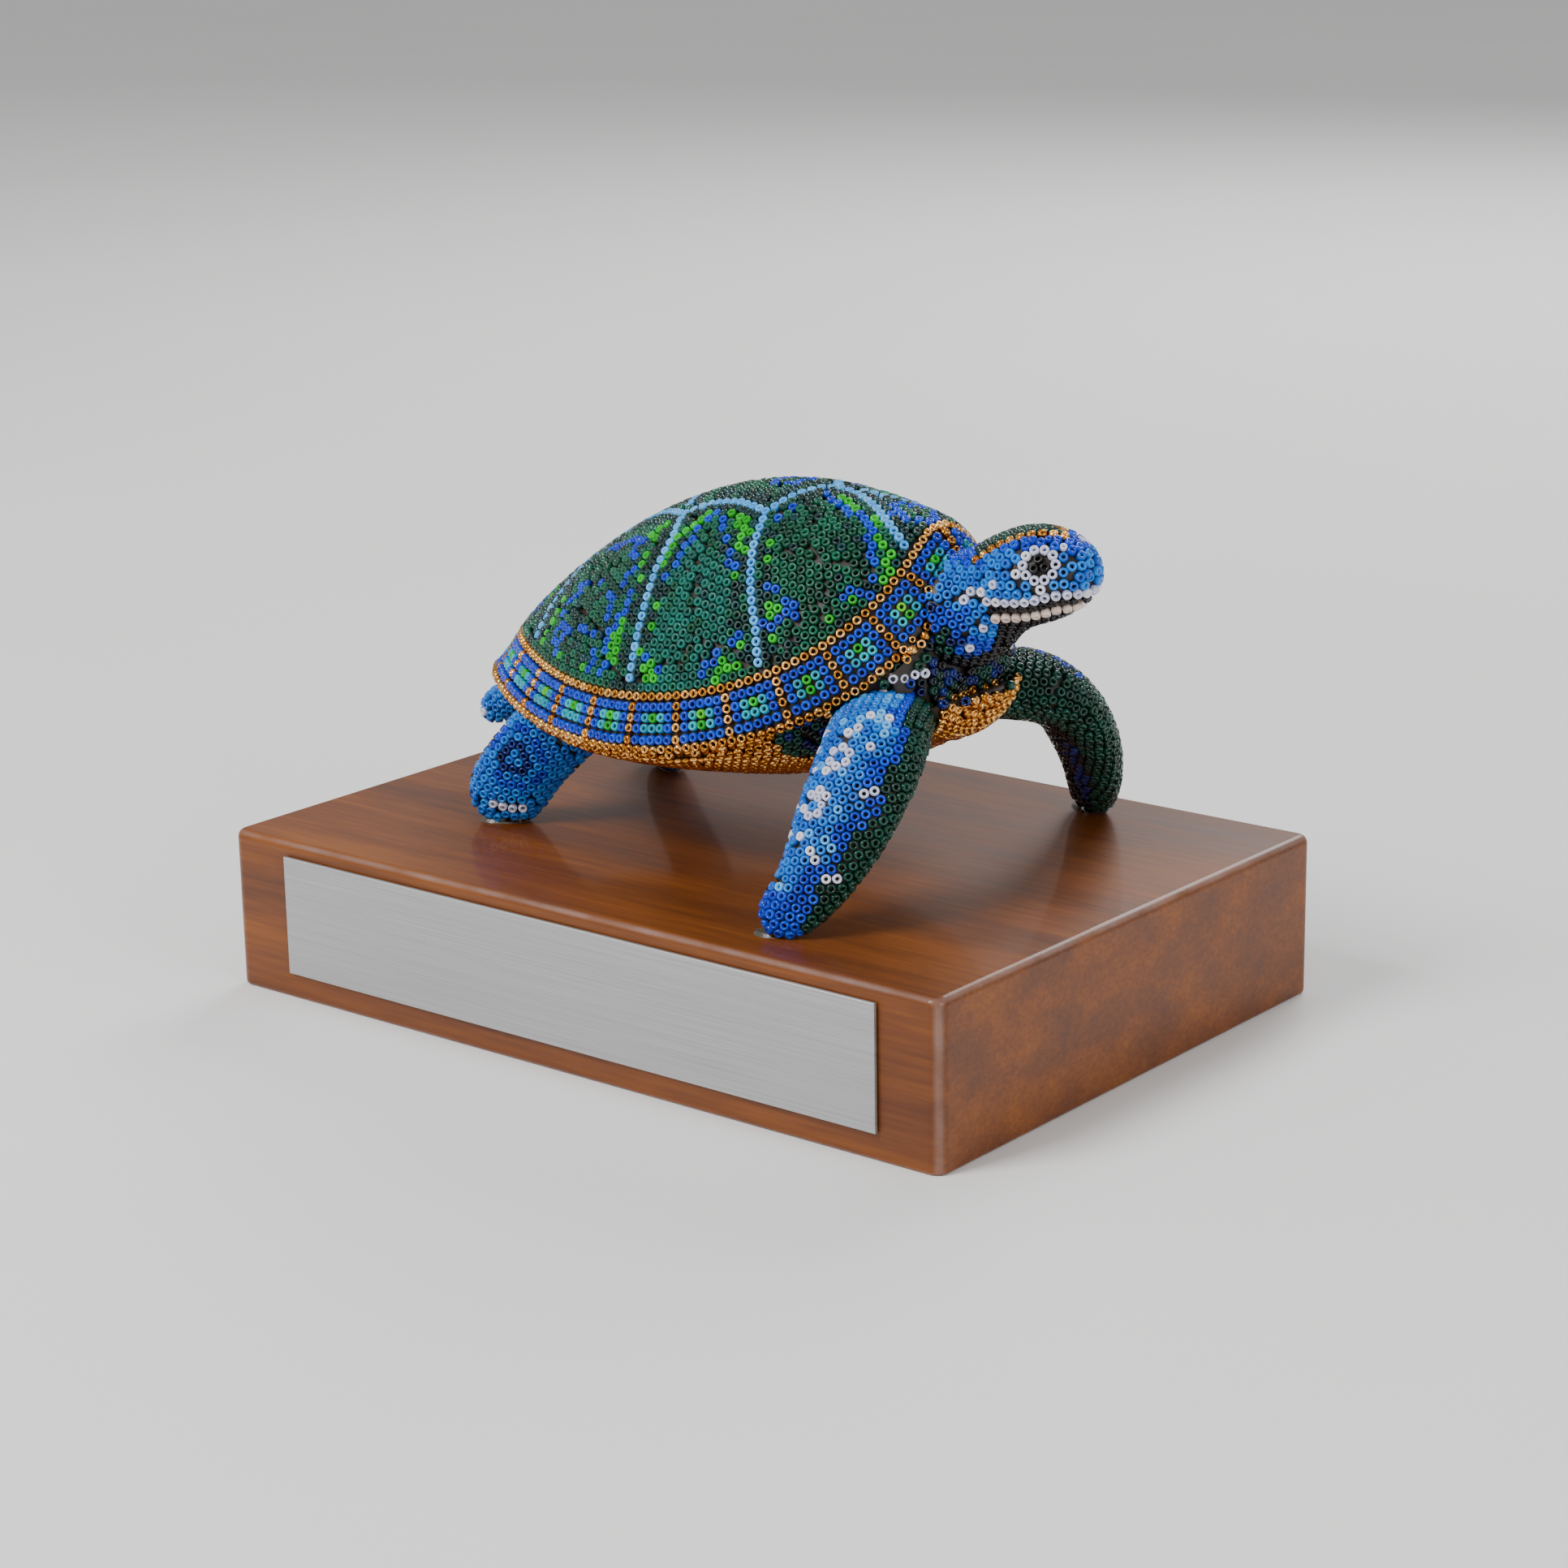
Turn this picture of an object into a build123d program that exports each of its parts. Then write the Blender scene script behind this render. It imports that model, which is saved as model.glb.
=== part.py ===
from build123d import *
from math import acos, cos, radians, sin
import os

# A sea turtle covered in glass beads set in wax, standing on a lacquered wooden plinth.
# Millimetres. X is the way the turtle faces, Z is up, and the origin is on the
# middle of the plinth's underside. The turtle is the same on both sides of Y = 0.

# ---- Driving dimensions ----
PLINTH_LENGTH = 180.0
PLINTH_WIDTH = 125.5
PLINTH_HEIGHT = 33.4
PLINTH_CORNER = 2.7
PLINTH_EDGE = 1.7

PLAQUE_LENGTH = 150.4
PLAQUE_HEIGHT = 24.8
PLAQUE_THICKNESS = 0.8
PLAQUE_CENTRE_X = 1.0
PLAQUE_CENTRE_Z = 18.0
TAPE_THICKNESS = 0.3
TAPE_MARGIN = 4.0

BEAD_HEIGHT = 1.5
WAX_THICKNESS = 0.8
WAX_DEPTH = BEAD_HEIGHT
CORE_DEPTH = BEAD_HEIGHT + WAX_THICKNESS

RIM_BAND = 10.4
RIDGE_HEIGHT = 107.2
RIDGE_X = 13.0
SHELL_FRONT_X = 50.0
BELLY_HEIGHT = 50.5

GLUE_FILM = 0.15
GLUE_HEIGHT = 0.7
GLUE_SPREADS = {"front": (4.0, 2.3), "rear": (5.2, 2.4)}
GLUE_PLACES = {"front": (43.2, -51.0, 20.0), "rear": (-48.2, -25.6, 35.0)}

# Places along the turtle where the shell and the belly are cut across.
SHELL_STATIONS = [-65.2, -60.0, -53.0, -42.0, -27.0, -9.0, 9.0, 24.0, 35.0, 42.0, 46.0, SHELL_FRONT_X]
ARCH_X = 43.0
ARCH_SPREAD = {46.0: 50.0, SHELL_FRONT_X: 38.0}
TAIL_BAND_X = -61.5
SKIRT_START_X = 15.0
THROAT_HEIGHT = 70.0
LIP_STATIONS = [SHELL_FRONT_X, 53.0, 55.0]
LIP_SECTIONS = [(16.0, 70.0, 61.0), (12.8, 70.4, 64.0), (8.0, 70.6, 67.5)]

# Ovals along each limb: centre, width direction, half-width, half-thickness.
HEAD = [
    ((40.0, 0, 83.0), (0, 1, 0), 14.0, 12.0),
    ((48.0, 0, 86.0), (0, 1, 0), 12.6, 11.6),
    ((54.5, 0, 89.0), (0, 1, 0), 10.6, 10.4),
    ((60.0, 0, 92.6), (0, 1, 0), 9.9, 9.5),
    ((65.5, 0, 95.0), (0, 1, 0), 10.4, 9.6),
    ((70.5, 0, 96.0), (0, 1, 0), 9.8, 8.9),
    ((75.0, 0, 96.3), (0, 1, 0), 7.6, 7.0),
    ((77.9, 0, 96.4), (0, 1, 0), 4.4, 4.2),
]
HEAD_TIP = (78.6, 0, 96.4)
FRONT_FLIPPER = [
    ((39.0, -8.0, 70.0), (0.93, 0.34, 0), 8.0, 6.0),
    ((45.0, -19.0, 67.0), (0.93, 0.34, 0), 9.6, 7.2),
    ((49.3, -28.5, 64.0), (0.93, 0.34, 0), 10.5, 7.0),
    ((50.6, -36.5, 56.6), (0.93, 0.34, 0), 10.1, 6.0),
    ((49.4, -43.0, 47.4), (0.93, 0.34, 0), 8.4, 5.2),
    ((46.8, -47.8, 40.2), (0.93, 0.34, 0), 6.6, 4.4),
    ((43.9, -50.8, 36.2), (0.93, 0.34, 0), 4.7, 3.2),
]
FRONT_TIP = (42.1, -52.2, 34.1)
REAR_FLIPPER = [
    ((-24.5, -14.5, 61.0), (0.75, 0.4, 0), 6.4, 5.0),
    ((-32.3, -20.0, 57.2), (0.75, 0.4, 0), 8.0, 5.4),
    ((-40.0, -23.4, 50.0), (0.75, 0.4, 0), 8.7, 5.4),
    ((-46.0, -25.0, 42.4), (0.75, 0.4, 0), 8.6, 5.0),
    ((-48.7, -25.8, 38.2), (0.75, 0.4, 0), 7.7, 4.4),
    ((-50.1, -26.3, 35.8), (0.75, 0.4, 0), 5.9, 3.4),
]
REAR_TIP = (-50.9, -26.6, 34.1)
TAIL = [
    ((-55.0, 0, 58.0), (0, 1, 0), 5.0, 5.0),
    ((-64.0, 0, 53.8), (0, 1, 0), 4.3, 4.6),
    ((-71.0, 0, 50.0), (0, 1, 0), 3.6, 4.2),
    ((-75.6, 0, 47.3), (0, 1, 0), 2.8, 3.2),
]
TAIL_TIP = (-78.4, 0, 45.8)

# Pegs between the pieces of the carving: start, end and radius.
PEGS = {
    "neck": ((34.0, 0, 80.0), (60.0, 0, 92.6), 2.5),
    "front": ((36.0, -5.0, 70.0), (49.3, -28.5, 64.5), 2.0),
    "rear": ((-18.0, -10.5, 63.5), (-37.0, -22.2, 54.0), 2.0),
    "tail": ((-48.0, 0, 61.0), (-66.0, 0, 52.8), 1.2),
}
SEAM_GAP = 0.3
SKIN_GAP = 0.03


# ---- The shell's rim: one closed curve, low on the flanks and arched over the neck ----
def rim_point(turn):
    """The middle of the rim band; turn is 0 over the neck and 180 degrees at the tail."""
    t = radians(turn)
    tail = ((1 - cos(t)) / 2) ** 14
    x = 1.3 + 58.0 * cos(t) - 8.4 * cos(2 * t) - 3.8 * cos(3 * t) - 2.5 * tail
    y = -(33.7 * sin(t) - 4.4 * sin(2 * t) - 3.3 * sin(3 * t))
    z = 75.6 + 13.5 * cos(t) + 9.6 * cos(2 * t) - 0.5 * cos(3 * t) - 7.4 * tail
    return Vector(x, y, z)


def rim_edge(turn, along):
    """A point of the band, from -1 at its upper bead line to 1 at its lower one."""
    step = 0.01
    run = (rim_point(turn - step) - rim_point(turn + step)).normalized()
    out = Vector(run.Y, -run.X, 0).normalized()
    down = -(out.cross(run)).normalized()
    lean = radians(18 + 15 * cos(radians(turn)) ** 2)
    slope = down * cos(lean) + out * sin(lean)
    return rim_point(turn) + slope * (along * RIM_BAND / 2)


def rim_edge_at(x, along):
    """The band's edge where it crosses the plane at x, found by halving."""
    low, high = 40.0, 180.0
    for _ in range(40):
        middle = (low + high) / 2
        if rim_edge(middle, along).X > x:
            low = middle
        else:
            high = middle
    return rim_edge(low, along)


def band_at(turn, x):
    """Where the front of the band crosses the plane at x."""
    top, foot = rim_edge(turn, -1), rim_edge(turn, 1)
    share = min(max((x - top.X) / (foot.X - top.X), 0.0), 1.0)
    return top + (foot - top) * share


def ridge_height(x):
    """Height of the shell's ridge, a long fall to the tail and a short one to the neck."""
    if x < RIDGE_X:
        return RIDGE_HEIGHT - 39.0 * ((RIDGE_X - x) / 75.0) ** 1.9
    return RIDGE_HEIGHT - 4.7 * ((x - RIDGE_X) / 31.3) ** 2


def smooth(share):
    """An even start and stop between 0 and 1."""
    share = min(max(share, 0.0), 1.0)
    return share * share * (3 - 2 * share)


def belly_line(x):
    """Height of the belly's keel, rising a little to the tail and more to the throat."""
    if x < 5:
        return BELLY_HEIGHT + 7.0 * ((5 - x) / 72.0) ** 2
    return BELLY_HEIGHT + 19.0 * ((x - 5) / 54.0) ** 2.6


def seam(x):
    """Half-width and height of the seam between the shell and the belly."""
    foot = rim_edge_at(x, 1)
    blend = smooth((x - SKIRT_START_X) / 30.0)
    width = max(abs(foot.Y) - 1.0 - 1.5 * blend, 14.0 * blend)
    height = min((foot.Z - 1.0) * (1 - blend) + THROAT_HEIGHT * blend, foot.Z - 1.0)
    return width, height


def section_plane(x):
    return Plane(origin=(x, 0, 0), x_dir=(0, 1, 0), z_dir=(1, 0, 0))


def shell_arc(x, grow):
    """Half of a section's top, from the rim's upper edge up to the ridge."""
    if x > ARCH_X:
        turns = [ARCH_SPREAD[x] * share for share in (1.0, 0.8, 0.52, 0.25, 0.0)]
        arch = [band_at(turn, x) for turn in turns]
        points = [(abs(p.Y), p.Z) for p in arch]
    else:
        edge = rim_edge_at(x, -1)
        width, low, high = abs(edge.Y), edge.Z, ridge_height(x)
        if x < TAIL_BAND_X:
            foot = rim_edge_at(x, 1)
            width, low, high = 0.75 * abs(foot.Y), foot.Z + 1.6, foot.Z + 3.0
        full = radians(33 + 22 * smooth((-15 - x) / 40))
        points = []
        for share in (1.0, 0.82, 0.6, 0.33, 0.0):
            lift = (sin(acos(share * cos(full))) - sin(full)) / (1 - sin(full))
            points.append((width * share, low + (high - low) * lift))
    side = points[0][0]
    return [(y + grow * y / side, z + 0.9 * grow) for y, z in points]


def shell_outline(x, grow):
    """Half of the shell's outline, from the seam out to the foot of the rim and up to the ridge."""
    foot = rim_edge(ARCH_SPREAD[x] + 5, 1) if x > ARCH_X else rim_edge_at(x, 1)
    seam_y, seam_z = seam(x)
    skirt = [(seam_y + grow, seam_z), (abs(foot.Y) + grow, foot.Z)]
    return skirt, shell_arc(x, grow)


def belly_outline(x, grow):
    """The belly's outline from its right seam round the keel to its left one."""
    if x in LIP_STATIONS:
        width, high, low = LIP_SECTIONS[LIP_STATIONS.index(x)]
    else:
        width, high = seam(x)
        low = belly_line(x)
    width += grow
    high -= SEAM_GAP
    low -= grow
    points = []
    for share in (1.0, 0.9, 0.7, 0.4, 0.0, -0.4, -0.7, -0.9, -1.0):
        drop = (1 - abs(share) ** 2.4) ** 0.75
        points.append((width * share, high - (high - low) * drop))
    return points


def draw_shell(x, grow):
    """Draws the shell's outline from seam to seam, over the ridge; gives its two ends."""
    skirt, arc = shell_outline(x, grow)
    far_skirt = [(-y, z) for y, z in reversed(skirt)]
    far_arc = [(-y, z) for y, z in reversed(arc[:-1])]
    Line(skirt[0], skirt[1])
    Line(skirt[1], arc[0])
    Spline(*(arc + far_arc))
    Line(far_arc[-1], far_skirt[0])
    Line(far_skirt[0], far_skirt[1])
    return skirt[0], far_skirt[1]


def draw_belly(x, grow):
    """Draws the belly's outline from seam to seam, round the keel; gives its two ends."""
    points = belly_outline(x, grow)
    Spline(*points)
    return points[0], points[-1]


def block(draw, stations, grow):
    """A solid through the outlines at the stations, closed along the seam."""
    with BuildPart() as solid:
        cuts = []
        for x in stations:
            with BuildSketch(section_plane(x)) as cut:
                with BuildLine():
                    Line(*draw(x, grow))
                make_face()
            cuts.append(cut.sketch)
        loft(sections=cuts)
    return solid.part


def skin(draw, stations, outer, inner):
    """A skin between two outlines at every station, open along the seam."""
    with BuildPart() as solid:
        cuts = []
        for x in stations:
            with BuildSketch(section_plane(x)) as cut:
                with BuildLine():
                    outside = draw(x, outer)
                    inside = draw(x, inner + SKIN_GAP)
                    Line(outside[0], inside[0])
                    Line(outside[1], inside[1])
                make_face()
            cuts.append(cut.sketch)
        loft(sections=cuts)
    return solid.part


def limb(sections, tip, grow):
    """A limb drawn through ovals: each has a centre, a width direction and two half-sizes."""
    centres = [Vector(*section[0]) for section in sections] + [Vector(*tip)]
    with BuildPart() as shape:
        cuts = []
        for place, (centre, across, half_width, half_depth) in enumerate(sections):
            before = centres[max(place - 1, 0)]
            along = (centres[place + 1] - before).normalized()
            oval = Plane(origin=centre, x_dir=across, z_dir=along)
            with BuildSketch(oval) as cut:
                Ellipse(half_width + grow, half_depth + grow)
            cuts.append(cut.sketch)
        end = (centres[-1] - centres[-2]).normalized()
        cuts.append(Vertex(*(centres[-1] + end * grow)))
        loft(sections=cuts)
    return shape.part


def dowel(start, end, radius):
    """A round peg from one piece of the carving into the next."""
    start, end = Vector(*start), Vector(*end)
    with BuildPart() as peg:
        with BuildSketch(Plane(origin=start, z_dir=end - start)):
            Circle(radius)
        extrude(amount=(end - start).length)
    return peg.part


def without(whole, *others):
    """What is left of a piece when its neighbours are taken away from it."""
    with BuildPart() as left:
        add(whole)
        for other in others:
            add(other, mode=Mode.SUBTRACT)
    return left.part


def save(piece, name):
    """Keep a piece's largest solid, without the slivers that cuts leave, and write it as one node."""
    node = piece.solids().sort_by(SortBy.VOLUME)[-1]
    node.label = name
    export_step(node, f"parts/{name}.step")
    print(name, round(node.volume, 1), flush=True)


os.makedirs("parts", exist_ok=True)

# ---- Plinth, plaque and the tape between them ----
with BuildPart() as plinth:
    with BuildSketch():
        RectangleRounded(PLINTH_LENGTH, PLINTH_WIDTH, PLINTH_CORNER)
    extrude(amount=PLINTH_HEIGHT)
    fillet(plinth.edges().group_by(Axis.Z)[-1], PLINTH_EDGE)
    fillet(plinth.edges().group_by(Axis.Z)[0], PLINTH_EDGE / 2)
save(plinth.part, "plinth")

FACE_Y = -PLINTH_WIDTH / 2
with BuildPart() as tape:
    with BuildSketch(Plane.XZ.offset(-FACE_Y)):
        with Locations((PLAQUE_CENTRE_X, PLAQUE_CENTRE_Z)):
            Rectangle(PLAQUE_LENGTH - 2 * TAPE_MARGIN, PLAQUE_HEIGHT - 2 * TAPE_MARGIN)
    extrude(amount=TAPE_THICKNESS)
save(tape.part, "plaque_tape")

with BuildPart() as plaque:
    with BuildSketch(Plane.XZ.offset(-FACE_Y + TAPE_THICKNESS)):
        with Locations((PLAQUE_CENTRE_X, PLAQUE_CENTRE_Z)):
            Rectangle(PLAQUE_LENGTH, PLAQUE_HEIGHT)
    extrude(amount=PLAQUE_THICKNESS)
    chamfer(plaque.faces().sort_by(Axis.Y)[0].edges(), 0.15)
save(plaque.part, "plaque")

# ---- The turtle: a carving in pegged pieces, a skin of wax, and the beads pressed into it ----
DEPTHS = {"core": -CORE_DEPTH, "wax": -WAX_DEPTH, "beads": 0.0}
BELLY_STATIONS = SHELL_STATIONS[:-1] + LIP_STATIONS

with BuildPart() as ground:
    with BuildSketch():
        Rectangle(PLINTH_LENGTH, PLINTH_WIDTH)
    extrude(amount=PLINTH_HEIGHT + GLUE_FILM)

LIMBS = {
    "head": (HEAD, HEAD_TIP, "neck", False),
    "right_front_flipper": (FRONT_FLIPPER, FRONT_TIP, "front", False),
    "left_front_flipper": (FRONT_FLIPPER, FRONT_TIP, "front", True),
    "right_rear_flipper": (REAR_FLIPPER, REAR_TIP, "rear", False),
    "left_rear_flipper": (REAR_FLIPPER, REAR_TIP, "rear", True),
    "tail": (TAIL, TAIL_TIP, "tail", False),
}
pegs = {}
for name, (sections, tip, peg, on_left) in LIMBS.items():
    pegs[name] = dowel(*PEGS[peg])
    if on_left:
        pegs[name] = pegs[name].mirror(Plane.XZ)
    save(pegs[name], f"{name}_dowel")

for name, draw, stations in (
    ("carapace", draw_shell, SHELL_STATIONS),
    ("belly", draw_belly, BELLY_STATIONS),
):
    save(without(block(draw, stations, -CORE_DEPTH), *pegs.values()), f"{name}_core")
    save(without(skin(draw, stations, -WAX_DEPTH, -CORE_DEPTH), *pegs.values()), f"{name}_wax")
    save(without(skin(draw, stations, 0.0, -WAX_DEPTH), *pegs.values()), f"{name}_beads")

body = [block(draw_shell, SHELL_STATIONS, 0.0), block(draw_belly, BELLY_STATIONS, 0.0)]
head = limb(HEAD, HEAD_TIP, 0.0)
feet = {}
for name, (sections, tip, peg, on_left) in LIMBS.items():
    layers = {layer: limb(sections, tip, grow) for layer, grow in DEPTHS.items()}
    neighbours = [*body, ground.part] if name in ("head", "tail") else [*body, ground.part, head]
    pieces = {
        "core": without(layers["core"], *neighbours, dowel(*PEGS[peg])),
        "wax": without(layers["wax"], layers["core"], *neighbours),
        "beads": without(layers["beads"], layers["wax"], *neighbours),
    }
    for layer, piece in pieces.items():
        save(piece.mirror(Plane.XZ) if on_left else piece, f"{name}_{layer}")
    feet[name] = layers["beads"]

# ---- A dab of clear glue under each flipper ----
for name, (sections, tip, peg, on_left) in LIMBS.items():
    if "flipper" in name:
        spread = GLUE_SPREADS[peg]
        centre_x, centre_y, turn = GLUE_PLACES[peg]
        with BuildPart() as dab:
            with BuildSketch(Plane.XY.offset(PLINTH_HEIGHT)):
                with Locations(Location((centre_x, centre_y, 0), (0, 0, turn))):
                    Ellipse(*spread)
            extrude(amount=GLUE_HEIGHT, taper=30)
        piece = without(dab.part, feet[name])
        save(piece.mirror(Plane.XZ) if on_left else piece, f"{name}_glue")
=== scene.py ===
# %% [markdown]
# # A sea turtle in glass beads
# The object is a carved wooden turtle. Its wood is covered in warm wax, and some thousands of glass seed
# beads are pressed into the wax one by one, hole outwards. It stands on a lacquered plinth with a metal
# plate. The imported model gives the wood, the wax and the plinth at their real size. What it can't give is
# the beads, so this lesson is mostly about those: one bead is modelled, and then the wax is
# covered with copies of it, in the same order in which a maker sets them.

# %% Load the imported model
import math
import random
from collections import deque, namedtuple

import bmesh
import bpy
import numpy as np
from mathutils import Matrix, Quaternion, Vector
from mathutils.bvhtree import BVHTree


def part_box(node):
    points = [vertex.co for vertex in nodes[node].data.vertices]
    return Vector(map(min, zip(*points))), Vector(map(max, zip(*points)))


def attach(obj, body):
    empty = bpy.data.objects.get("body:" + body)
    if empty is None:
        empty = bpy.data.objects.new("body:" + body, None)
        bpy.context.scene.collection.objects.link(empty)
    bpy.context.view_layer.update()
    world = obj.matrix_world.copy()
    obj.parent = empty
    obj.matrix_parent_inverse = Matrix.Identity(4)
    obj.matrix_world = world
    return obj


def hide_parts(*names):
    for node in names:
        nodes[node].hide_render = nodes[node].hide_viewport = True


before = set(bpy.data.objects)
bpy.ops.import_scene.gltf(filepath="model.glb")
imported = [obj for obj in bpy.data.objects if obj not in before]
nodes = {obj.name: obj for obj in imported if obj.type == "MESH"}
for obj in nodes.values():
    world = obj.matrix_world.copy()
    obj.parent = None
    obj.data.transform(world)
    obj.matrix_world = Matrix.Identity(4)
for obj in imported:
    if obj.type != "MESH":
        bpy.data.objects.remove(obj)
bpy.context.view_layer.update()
MM = 0.001
random.seed(11)
bpy.ops.object.select_all(action="DESELECT")
print("nodes:", len(nodes))

# %% [markdown]
# ## Camera, floor and light
# The turtle is seen from its right front, a little from above, through a long lens, so that the plinth's
# edges hardly converge. The floor and the light are plain: a pale floor, one large soft lamp high on the
# left, a weaker one on the right, and one behind that draws a line of light along the plinth's edges.

# %% Camera
AIM = Vector((4.7, 0.0, 44.06)) * MM
DISTANCE = 736.2 * MM
TURN = math.radians(39.12)
RISE = math.radians(15.98)
ROLL = math.radians(-0.95)
back = Vector((math.sin(TURN) * math.cos(RISE), -math.cos(TURN) * math.cos(RISE), math.sin(RISE)))
camera_data = bpy.data.cameras.new("camera")
camera_data.lens = 84.1
camera_data.sensor_width = 36.0
camera = bpy.data.objects.new("camera", camera_data)
bpy.context.scene.collection.objects.link(camera)
camera.rotation_mode = "QUATERNION"
camera.location = AIM + back * DISTANCE
camera.rotation_quaternion = (-back).to_track_quat("-Z", "Y") @ Quaternion((0, 0, 1), ROLL)
bpy.context.scene.camera = camera
print("camera at", [round(c, 3) for c in camera.location])


# %% Helpers for materials
def linear(red, green, blue):
    """A colour given as 0 to 255, as a screen shows it, turned into the renderer's linear values."""
    values = [c / 255 for c in (red, green, blue)]
    return tuple(c / 12.92 if c <= 0.04045 else ((c + 0.055) / 1.055) ** 2.4 for c in values) + (1.0,)


def new_material(name):
    material = bpy.data.materials.new(name)
    material.use_nodes = True
    tree = material.node_tree
    return material, tree, tree.nodes["Principled BSDF"]


def add_node(tree, kind, **inputs):
    """Adds a node; a word is an input's name with _ for a space, and its value is set or linked."""
    node = tree.nodes.new(kind)
    for word, value in inputs.items():
        socket = node.inputs[word.replace("_", " ")]
        if isinstance(value, bpy.types.NodeSocket):
            tree.links.new(value, socket)
        else:
            socket.default_value = value
    return node


def grain(tree, stretch, detail=5.0, roughness=0.55):
    """Noise drawn out along the piece; stretch is how fast it changes along X, Y and Z, per metre."""
    place = tree.nodes.new("ShaderNodeTexCoord")
    mapping = add_node(tree, "ShaderNodeMapping", Vector=place.outputs["Object"], Scale=stretch)
    noise = add_node(tree, "ShaderNodeTexNoise", Vector=mapping.outputs["Vector"], Scale=1.0)
    noise.inputs["Detail"].default_value = detail
    noise.inputs["Roughness"].default_value = roughness
    return noise.outputs["Fac"]


def ramp(tree, fac, *stops):
    """A colour ramp: each stop is (position, colour)."""
    node = add_node(tree, "ShaderNodeValToRGB", Fac=fac)
    ends = node.color_ramp.elements
    ends[0].position, ends[0].color = stops[0]
    ends[1].position, ends[1].color = stops[-1]
    for position, colour in stops[1:-1]:
        ends.new(position).color = colour
    return node.outputs["Color"]


def spread(tree, fac, low, high):
    """Turns a noise between 0.3 and 0.7 into a number between low and high."""
    node = add_node(tree, "ShaderNodeMapRange", Value=fac)
    node.inputs["From Min"].default_value = 0.3
    node.inputs["From Max"].default_value = 0.7
    node.inputs["To Min"].default_value = low
    node.inputs["To Max"].default_value = high
    return node.outputs["Result"]


def relief(tree, shader, height, strength, depth):
    """Raises and sinks the surface by a height map, without changing its shape."""
    bump = add_node(tree, "ShaderNodeBump", Height=height, Strength=strength, Distance=depth * MM)
    tree.links.new(bump.outputs["Normal"], shader.inputs["Normal"])


# %% Floor and lamps
FLOOR_SIZE = 30.0
bpy.ops.mesh.primitive_plane_add(size=FLOOR_SIZE, location=(0, 0, 0))
floor = bpy.context.object
floor.name = "floor"
paper, tree, shader = new_material("pale_floor")
tree.links.new(
    ramp(tree, grain(tree, (3, 3, 3)), (0.3, linear(246, 246, 245)), (0.7, linear(250, 250, 249))),
    shader.inputs["Base Color"],
)
shader.inputs["Roughness"].default_value = 0.8
floor.data.materials.append(paper)


def lamp(name, place, watts, size):
    """A square soft lamp that faces the turtle."""
    data = bpy.data.lights.new(name, "AREA")
    data.energy = watts
    data.size = size
    holder = bpy.data.objects.new(name, data)
    bpy.context.scene.collection.objects.link(holder)
    holder.location = place
    holder.rotation_mode = "QUATERNION"
    holder.rotation_quaternion = (AIM - Vector(place)).to_track_quat("-Z", "Y")


lamp("key", (-0.35, -0.95, 1.05), 16.0, 0.5)
lamp("fill", (1.15, -0.25, 0.55), 5.0, 0.6)
lamp("rim", (-0.3, 1.2, 0.9), 11.0, 0.7)
world = bpy.data.worlds.new("studio")
world.use_nodes = True
world.node_tree.nodes["Background"].inputs["Color"].default_value = (1.0, 1.0, 1.0, 1.0)
world.node_tree.nodes["Background"].inputs["Strength"].default_value = 0.45
bpy.context.scene.world = world
print("floor and lamps set")

# %% [markdown]
# ## The plinth
# The plinth is a block of dark hardwood, stained and sprayed with a semi-gloss lacquer. The grain runs
# along it. Two layers of drawn-out noise make the colour: broad bands, and fine pores. The lacquer is the
# shader's coat. The rounded edges get a painted highlight, a patchy pale grey mixed into the stain, which a
# mask finds by the direction of the surface: only the rounding faces neither up nor to a side.

# %% Lacquered wood
lacquer, tree, shader = new_material("lacquered_wood")
bands = grain(tree, (9, 70, 110), detail=4.0)
pores = grain(tree, (60, 900, 1300), detail=3.0)
bands_and_pores = add_node(tree, "ShaderNodeMix", Factor=0.35)
tree.links.new(bands, bands_and_pores.inputs["A"])
tree.links.new(pores, bands_and_pores.inputs["B"])
stain = ramp(
    tree,
    bands_and_pores.outputs["Result"],
    (0.32, linear(82, 38, 5)),
    (0.5, linear(112, 57, 10)),
    (0.68, linear(138, 76, 17)),
)
surface = tree.nodes.new("ShaderNodeNewGeometry")
facing = add_node(tree, "ShaderNodeVectorMath", Vector=surface.outputs["Normal"])
facing.operation = "ABSOLUTE"
sides = add_node(tree, "ShaderNodeSeparateXYZ", Vector=facing.outputs["Vector"])
widest = tree.nodes.new("ShaderNodeMath")
widest.operation = "MAXIMUM"
tree.links.new(sides.outputs["X"], widest.inputs[0])
tree.links.new(sides.outputs["Y"], widest.inputs[1])
widest_of_all = tree.nodes.new("ShaderNodeMath")
widest_of_all.operation = "MAXIMUM"
tree.links.new(widest.outputs["Value"], widest_of_all.inputs[0])
tree.links.new(sides.outputs["Z"], widest_of_all.inputs[1])
# Painted highlight: where the surface rounds over an edge, a patchy pale grey goes into the stain, standing
# in for light caught on the rounding.
edge = add_node(tree, "ShaderNodeMapRange", Value=widest_of_all.outputs["Value"])
edge.inputs["From Min"].default_value = 0.96
edge.inputs["From Max"].default_value = 0.8
painted_edge_highlight = tree.nodes.new("ShaderNodeMath")
painted_edge_highlight.operation = "MULTIPLY"
tree.links.new(edge.outputs["Result"], painted_edge_highlight.inputs[0])
tree.links.new(spread(tree, grain(tree, (90, 90, 90)), 0.15, 0.75), painted_edge_highlight.inputs[1])
coloured = tree.nodes.new("ShaderNodeMix")
coloured.data_type = "RGBA"
tree.links.new(painted_edge_highlight.outputs["Value"], coloured.inputs["Factor"])
tree.links.new(stain, coloured.inputs[6])
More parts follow.
